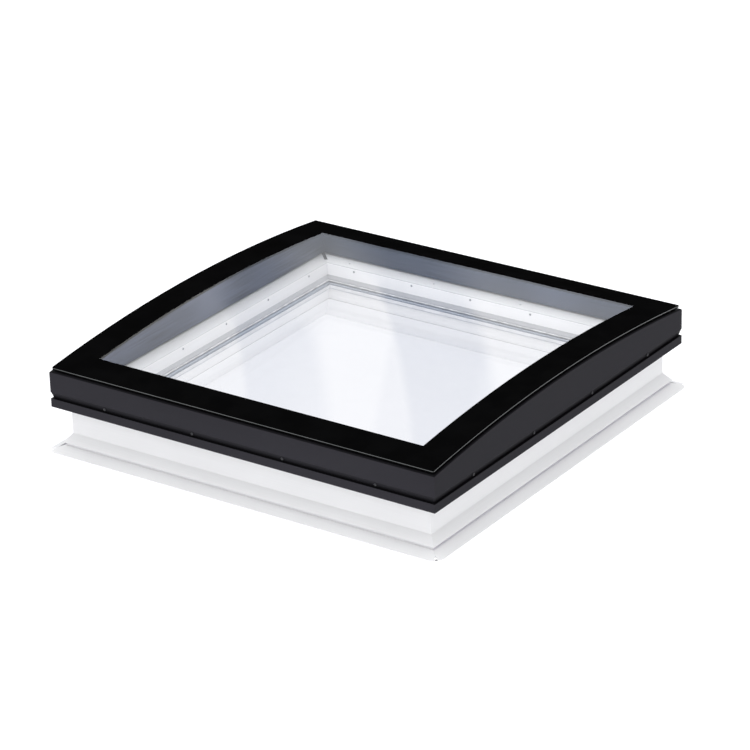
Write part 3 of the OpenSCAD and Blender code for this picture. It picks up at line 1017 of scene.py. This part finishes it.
def studio_light():
    """Soft light from all round and above. The camera sees plain white, and gloss sees the screens."""
    world = bpy.data.worlds.new("studio")
    world.use_nodes = True
    sheet = Sheet(world.node_tree)
    heading = sheet.add("ShaderNodeTexCoord", output=0)
    east, north, height = (heading.part(axis) for axis in "XYZ")
    soft = height.eased(0.05, 0.6, RIM_LIGHT, MIDDLE_LIGHT) + height.eased(0.65, 1.0, 0.0, TOP_LIGHT)
    soft = soft * (1.0 - east * EAST_LOSS - north * NORTH_LOSS)
    across = east - (height - GAP_HEIGHT) * GAP_LEAN
    gaps = 0.0
    for start, end, start_edge, end_edge, low in SCREEN_GAPS:
        blur = height.eased(low, low + GAP_FADE, GAP_BLUR, 0.0)
        gap = across.eased(start - (blur + start_edge), start + (blur + start_edge))
        gap = gap * across.eased(end - (blur + end_edge), end + (blur + end_edge), 1.0, 0.0)
        gaps = gap * height.eased(low, low + GAP_FADE, GAP_FAINT, 1.0) + gaps
    screens = sheet.blend(height.eased(SCREEN_LOW, SCREEN_HIGH), LOW_SCREEN, WHITE)
    mirrored = sheet.blend(gaps, screens, GAP_COLOUR)
    path = sheet.add("ShaderNodeLightPath").socket.node
    seen = Signal(sheet, path.outputs["Is Camera Ray"])
    glossy = Signal(sheet, path.outputs["Is Glossy Ray"])
    white = sheet.blend(seen, SKY_COLOUR, WHITE)
    level = soft * (1.0 - glossy) + glossy
    level = level * (1.0 - seen) + seen
    light = sheet.add(
        "ShaderNodeBackground", {}, {"Color": sheet.blend(glossy, white, mirrored), "Strength": level}
    )
    sheet.add("ShaderNodeOutputWorld", {}, {"Surface": light})
    return world


def soft_box(name, height, size, power, upward=False):
    """A square soft light over the middle that shines straight down or up and is not seen itself."""
    lamp = bpy.data.lights.new(name, "AREA")
    lamp.shape = "SQUARE"
    lamp.size = size
    lamp.energy = power
    box = bpy.data.objects.new(name, lamp)
    box.location.z = height
    box.rotation_euler.x = math.pi if upward else 0.0
    box.visible_camera = False
    box.visible_glossy = False
    bpy.context.scene.collection.objects.link(box)


# How far the floor lies under the part, and the width of the camera's sensor in millimetres
FLOOR_GAP = 0.5 * MM
SENSOR = 36.0

# The soft lights' sides, and how high each hangs: over the part, just under the arched glass, just under
# the sealed pane, and at the foot of the shaft
SKY_BOX, COVER_BOX, SHAFT_BOX = 4.0, 0.99, 0.9
SKY_BOX_AT, COVER_BOX_AT, SHAFT_BOX_AT, FOOT_BOX_AT = 4.5, 225 * MM, 107.5 * MM, 2 * MM


class SKYLIGHT_OT_studio(bpy.types.Operator):
    """Lay the floor and set the light and the camera"""

    bl_idname = "skylight.studio"
    bl_label = "Studio"

    def execute(self, context):
        studio = context.scene.skylight_studio
        shape = bmesh.new()
        bmesh.ops.create_grid(shape, x_segments=8, y_segments=8, size=studio.floor_size / 2)
        mesh = bpy.data.meshes.new("floor")
        shape.to_mesh(mesh)
        shape.free()
        mesh.transform(Matrix.Translation((0.0, 0.0, -FLOOR_GAP)))
        mesh.materials.append(floor_finish(studio.floor_glow, studio.shaft_glow))
        floor = bpy.data.objects.new("floor", mesh)
        context.scene.collection.objects.link(floor)
        context.scene.world = studio_light()
        soft_box("sky_box", SKY_BOX_AT, SKY_BOX, studio.sky_power)
        soft_box("foot_box", FOOT_BOX_AT, SHAFT_BOX, studio.foot_power, upward=True)
        soft_box("cover_box", COVER_BOX_AT, COVER_BOX, studio.cover_power)
        soft_box("shaft_box", SHAFT_BOX_AT, SHAFT_BOX, studio.shaft_power)
        eye = bpy.data.cameras.new("camera")
        eye.lens, eye.sensor_width = studio.lens, SENSOR
        eye.clip_start, eye.clip_end = 0.1, 200.0
        camera = bpy.data.objects.new("camera", eye)
        camera.matrix_world = (
            Matrix.Translation(studio.place)
            @ Matrix.Rotation(studio.azimuth, 4, "Z")
            @ Matrix.Rotation(math.pi / 2 - studio.elevation, 4, "X")
            @ Matrix.Rotation(studio.roll, 4, "Z")
        )
        context.scene.collection.objects.link(camera)
        context.scene.camera = camera
        context.scene.view_settings.view_transform = "Standard"
        return {"FINISHED"}


PIECE_OPERATORS = (
    SKYLIGHT_OT_kerb,
    SKYLIGHT_OT_inside,
    SKYLIGHT_OT_rubber,
    SKYLIGHT_OT_panes,
    SKYLIGHT_OT_beads,
    SKYLIGHT_OT_rails,
    SKYLIGHT_OT_fascias,
    SKYLIGHT_OT_cover_glass,
    SKYLIGHT_OT_screws,
    SKYLIGHT_OT_studio,
)


class SKYLIGHT_PT_panel(bpy.types.Panel):
    """Lists the skylight's pieces and its studio"""

    bl_label = "Roof skylight"
    bl_idname = "SKYLIGHT_PT_panel"
    bl_space_type = "VIEW_3D"
    bl_region_type = "UI"
    bl_category = "Skylight"

    def draw(self, context):
        for operator in PIECE_OPERATORS:
            self.layout.operator(operator.bl_idname)


PROPERTY_GROUPS = {
    "skylight_sizes": SkylightSizes,
    "skylight_finishes": SkylightFinishes,
    "skylight_studio": SkylightStudio,
}
CLASSES = (*PROPERTY_GROUPS.values(), *PIECE_OPERATORS, SKYLIGHT_PT_panel)


def register():
    for made in CLASSES:
        bpy.utils.register_class(made)
    for name, group in PROPERTY_GROUPS.items():
        setattr(bpy.types.Scene, name, bpy.props.PointerProperty(type=group))


def unregister():
    for name in PROPERTY_GROUPS:
        delattr(bpy.types.Scene, name)
    for made in reversed(CLASSES):
        bpy.utils.unregister_class(made)


def main():
    register()
    bpy.ops.skylight.kerb()
    bpy.ops.skylight.inside()
    bpy.ops.skylight.rubber()
    bpy.ops.skylight.panes()
    bpy.ops.skylight.beads()
    bpy.ops.skylight.rails()
    bpy.ops.skylight.fascias()
    bpy.ops.skylight.cover_glass()
    bpy.ops.skylight.screws()
    bpy.ops.skylight.studio()


if __name__ == "__main__":
    main()
